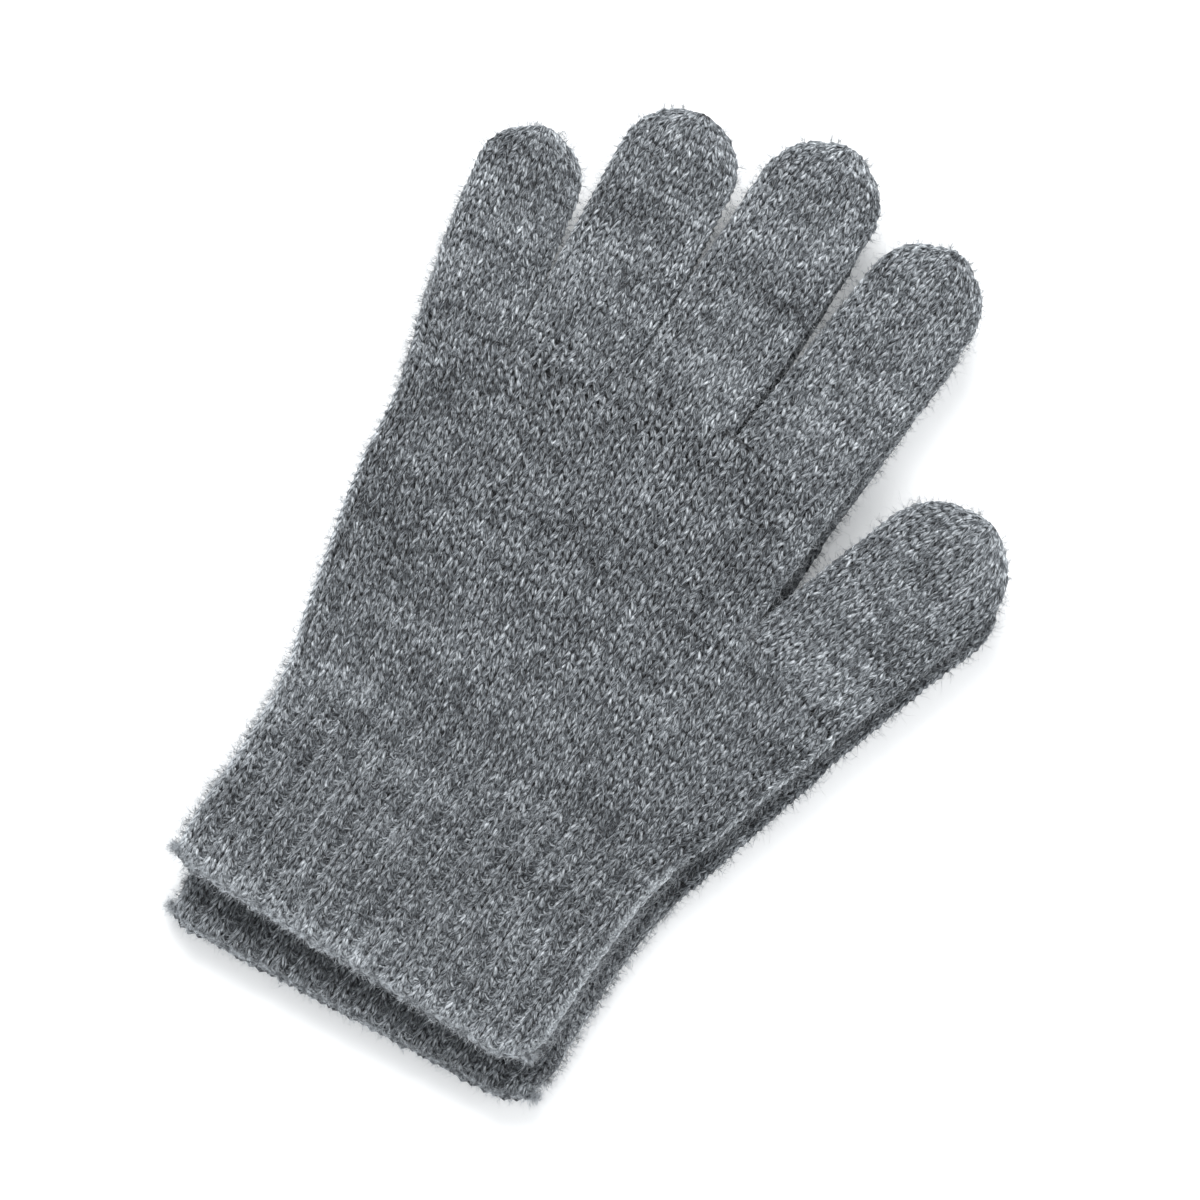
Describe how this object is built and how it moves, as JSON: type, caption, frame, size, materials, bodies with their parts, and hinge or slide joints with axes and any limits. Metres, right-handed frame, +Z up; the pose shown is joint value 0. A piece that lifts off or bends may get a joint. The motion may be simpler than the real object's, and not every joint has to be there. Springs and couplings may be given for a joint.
{
  "type": "knitted gloves",
  "caption": "Pair of seamless ribbed-cuff knitted gloves with hollow, bending fingers, lying flat one on the other.",
  "frame": {"origin": "centre of the pair's footprint, on the surface the gloves lie on", "axes": "+Y from the cuffs to the fingertips, +Z up, thumbs on the +X side"},
  "size_m": [0.1586, 0.2316, 0.0175],
  "materials": {
    "plain_knit": "soft brushed plain knit in mid grey marl wool",
    "thumb_knit": "soft brushed plain knit in mid grey marl wool",
    "finger_knit": "soft brushed plain knit in mid grey marl wool",
    "rib_knit": "2x1 rib in mid grey marl wool",
    "edge_knit": "fuzzy bound edge in mid grey marl wool",
    "elastic": "covered elastic thread"
  },
  "bodies": {
    "lower_hand": {"lower_palm": "plain_knit", "lower_rib_cuff": "rib_knit", "lower_cuff_edge": "edge_knit", "lower_cuff_elastic": "elastic"},
    "upper_hand": {"upper_palm": "plain_knit", "upper_rib_cuff": "rib_knit", "upper_cuff_edge": "edge_knit", "upper_cuff_elastic": "elastic"},
    "lower_thumb_near": {"lower_thumb_base": "thumb_knit"},
    "lower_thumb_far": {"lower_thumb_tip": "thumb_knit"},
    "lower_index_near": {"lower_index_base": "finger_knit"},
    "lower_index_far": {"lower_index_tip": "finger_knit"},
    "lower_middle_near": {"lower_middle_base": "finger_knit"},
    "lower_middle_far": {"lower_middle_tip": "finger_knit"},
    "lower_ring_near": {"lower_ring_base": "finger_knit"},
    "lower_ring_far": {"lower_ring_tip": "finger_knit"},
    "lower_little_near": {"lower_little_base": "finger_knit"},
    "lower_little_far": {"lower_little_tip": "finger_knit"},
    "upper_thumb_near": {"upper_thumb_base": "thumb_knit"},
    "upper_thumb_far": {"upper_thumb_tip": "thumb_knit"},
    "upper_index_near": {"upper_index_base": "finger_knit"},
    "upper_index_far": {"upper_index_tip": "finger_knit"},
    "upper_middle_near": {"upper_middle_base": "finger_knit"},
    "upper_middle_far": {"upper_middle_tip": "finger_knit"},
    "upper_ring_near": {"upper_ring_base": "finger_knit"},
    "upper_ring_far": {"upper_ring_tip": "finger_knit"},
    "upper_little_near": {"upper_little_base": "finger_knit"},
    "upper_little_far": {"upper_little_tip": "finger_knit"}
  },
  "joints": [
    {"name": "lift_off", "type": "slide", "parent": "lower_hand", "child": "upper_hand", "axis": [0, 0, 1], "range_m": [0, 0.06]},
    {"name": "lower_thumb_root", "type": "hinge", "parent": "lower_hand", "child": "lower_thumb_near", "pos_m": [0.05051, -0.0038, 0], "axis": [-0.9542, 0.299, 0], "range_deg": [0, 50]},
    {"name": "lower_thumb_knuckle", "type": "hinge", "parent": "lower_thumb_near", "child": "lower_thumb_far", "pos_m": [0.05919, 0.02392, 0], "axis": [-0.9542, 0.299, 0], "range_deg": [0, 70]},
    {"name": "lower_index_root", "type": "hinge", "parent": "lower_hand", "child": "lower_index_near", "pos_m": [0.02173, 0.03701, 0], "axis": [-0.9956, 0.0941, 0], "range_deg": [0, 60]},
    {"name": "lower_index_knuckle", "type": "hinge", "parent": "lower_index_near", "child": "lower_index_far", "pos_m": [0.0247, 0.06847, 0], "axis": [-0.9956, 0.0941, 0], "range_deg": [0, 80]},
    {"name": "lower_middle_root", "type": "hinge", "parent": "lower_hand", "child": "lower_middle_near", "pos_m": [-0.00732, 0.0376, 0], "axis": [-0.9998, 0.0192, 0], "range_deg": [0, 60]},
    {"name": "lower_middle_knuckle", "type": "hinge", "parent": "lower_middle_near", "child": "lower_middle_far", "pos_m": [-0.00665, 0.07225, 0], "axis": [-0.9998, 0.0192, 0], "range_deg": [0, 80]},
    {"name": "lower_ring_root", "type": "hinge", "parent": "lower_hand", "child": "lower_ring_near", "pos_m": [-0.03436, 0.03285, 0], "axis": [-0.9973, -0.0732, 0], "range_deg": [0, 60]},
    {"name": "lower_ring_knuckle", "type": "hinge", "parent": "lower_ring_near", "child": "lower_ring_far", "pos_m": [-0.03666, 0.06416, 0], "axis": [-0.9973, -0.0732, 0], "range_deg": [0, 80]},
    {"name": "lower_little_root", "type": "hinge", "parent": "lower_hand", "child": "lower_little_near", "pos_m": [-0.0596, 0.02474, 0], "axis": [-0.986, -0.1668, 0], "range_deg": [0, 60]},
    {"name": "lower_little_knuckle", "type": "hinge", "parent": "lower_little_near", "child": "lower_little_far", "pos_m": [-0.06368, 0.04885, 0], "axis": [-0.986, -0.1668, 0], "range_deg": [0, 70]},
    {"name": "upper_thumb_root", "type": "hinge", "parent": "upper_hand", "child": "upper_thumb_near", "pos_m": [0.04757, 0.00341, 0.0175], "axis": [0.9455, -0.3256, 0], "range_deg": [0, 50]},
    {"name": "upper_thumb_knuckle", "type": "hinge", "parent": "upper_thumb_near", "child": "upper_thumb_far", "pos_m": [0.05703, 0.03087, 0.0175], "axis": [0.9455, -0.3256, 0], "range_deg": [0, 70]},
    {"name": "upper_index_root", "type": "hinge", "parent": "upper_hand", "child": "upper_index_near", "pos_m": [0.01994, 0.04501, 0.0175], "axis": [0.9925, -0.1219, 0], "range_deg": [0, 60]},
    {"name": "upper_index_knuckle", "type": "hinge", "parent": "upper_index_near", "child": "upper_index_far", "pos_m": [0.0238, 0.07638, 0.0175], "axis": [0.9925, -0.1219, 0], "range_deg": [0, 80]},
    {"name": "upper_middle_root", "type": "hinge", "parent": "upper_hand", "child": "upper_middle_near", "pos_m": [-0.00907, 0.04641, 0.0175], "axis": [0.9989, -0.0471, 0], "range_deg": [0, 60]},
    {"name": "upper_middle_knuckle", "type": "hinge", "parent": "upper_middle_near", "child": "upper_middle_far", "pos_m": [-0.00743, 0.08103, 0.0175], "axis": [0.9989, -0.0471, 0], "range_deg": [0, 80]},
    {"name": "upper_ring_root", "type": "hinge", "parent": "upper_hand", "child": "upper_ring_near", "pos_m": [-0.03623, 0.04242, 0.0175], "axis": [0.999, 0.0454, 0], "range_deg": [0, 60]},
    {"name": "upper_ring_knuckle", "type": "hinge", "parent": "upper_ring_near", "child": "upper_ring_far", "pos_m": [-0.03766, 0.07378, 0.0175], "axis": [0.999, 0.0454, 0], "range_deg": [0, 80]},
    {"name": "upper_little_root", "type": "hinge", "parent": "upper_hand", "child": "upper_little_near", "pos_m": [-0.06169, 0.03501, 0.0175], "axis": [0.9903, 0.1392, 0], "range_deg": [0, 60]},
    {"name": "upper_little_knuckle", "type": "hinge", "parent": "upper_little_near", "child": "upper_little_far", "pos_m": [-0.0651, 0.05923, 0.0175], "axis": [0.9903, 0.1392, 0], "range_deg": [0, 70]}
  ]
}
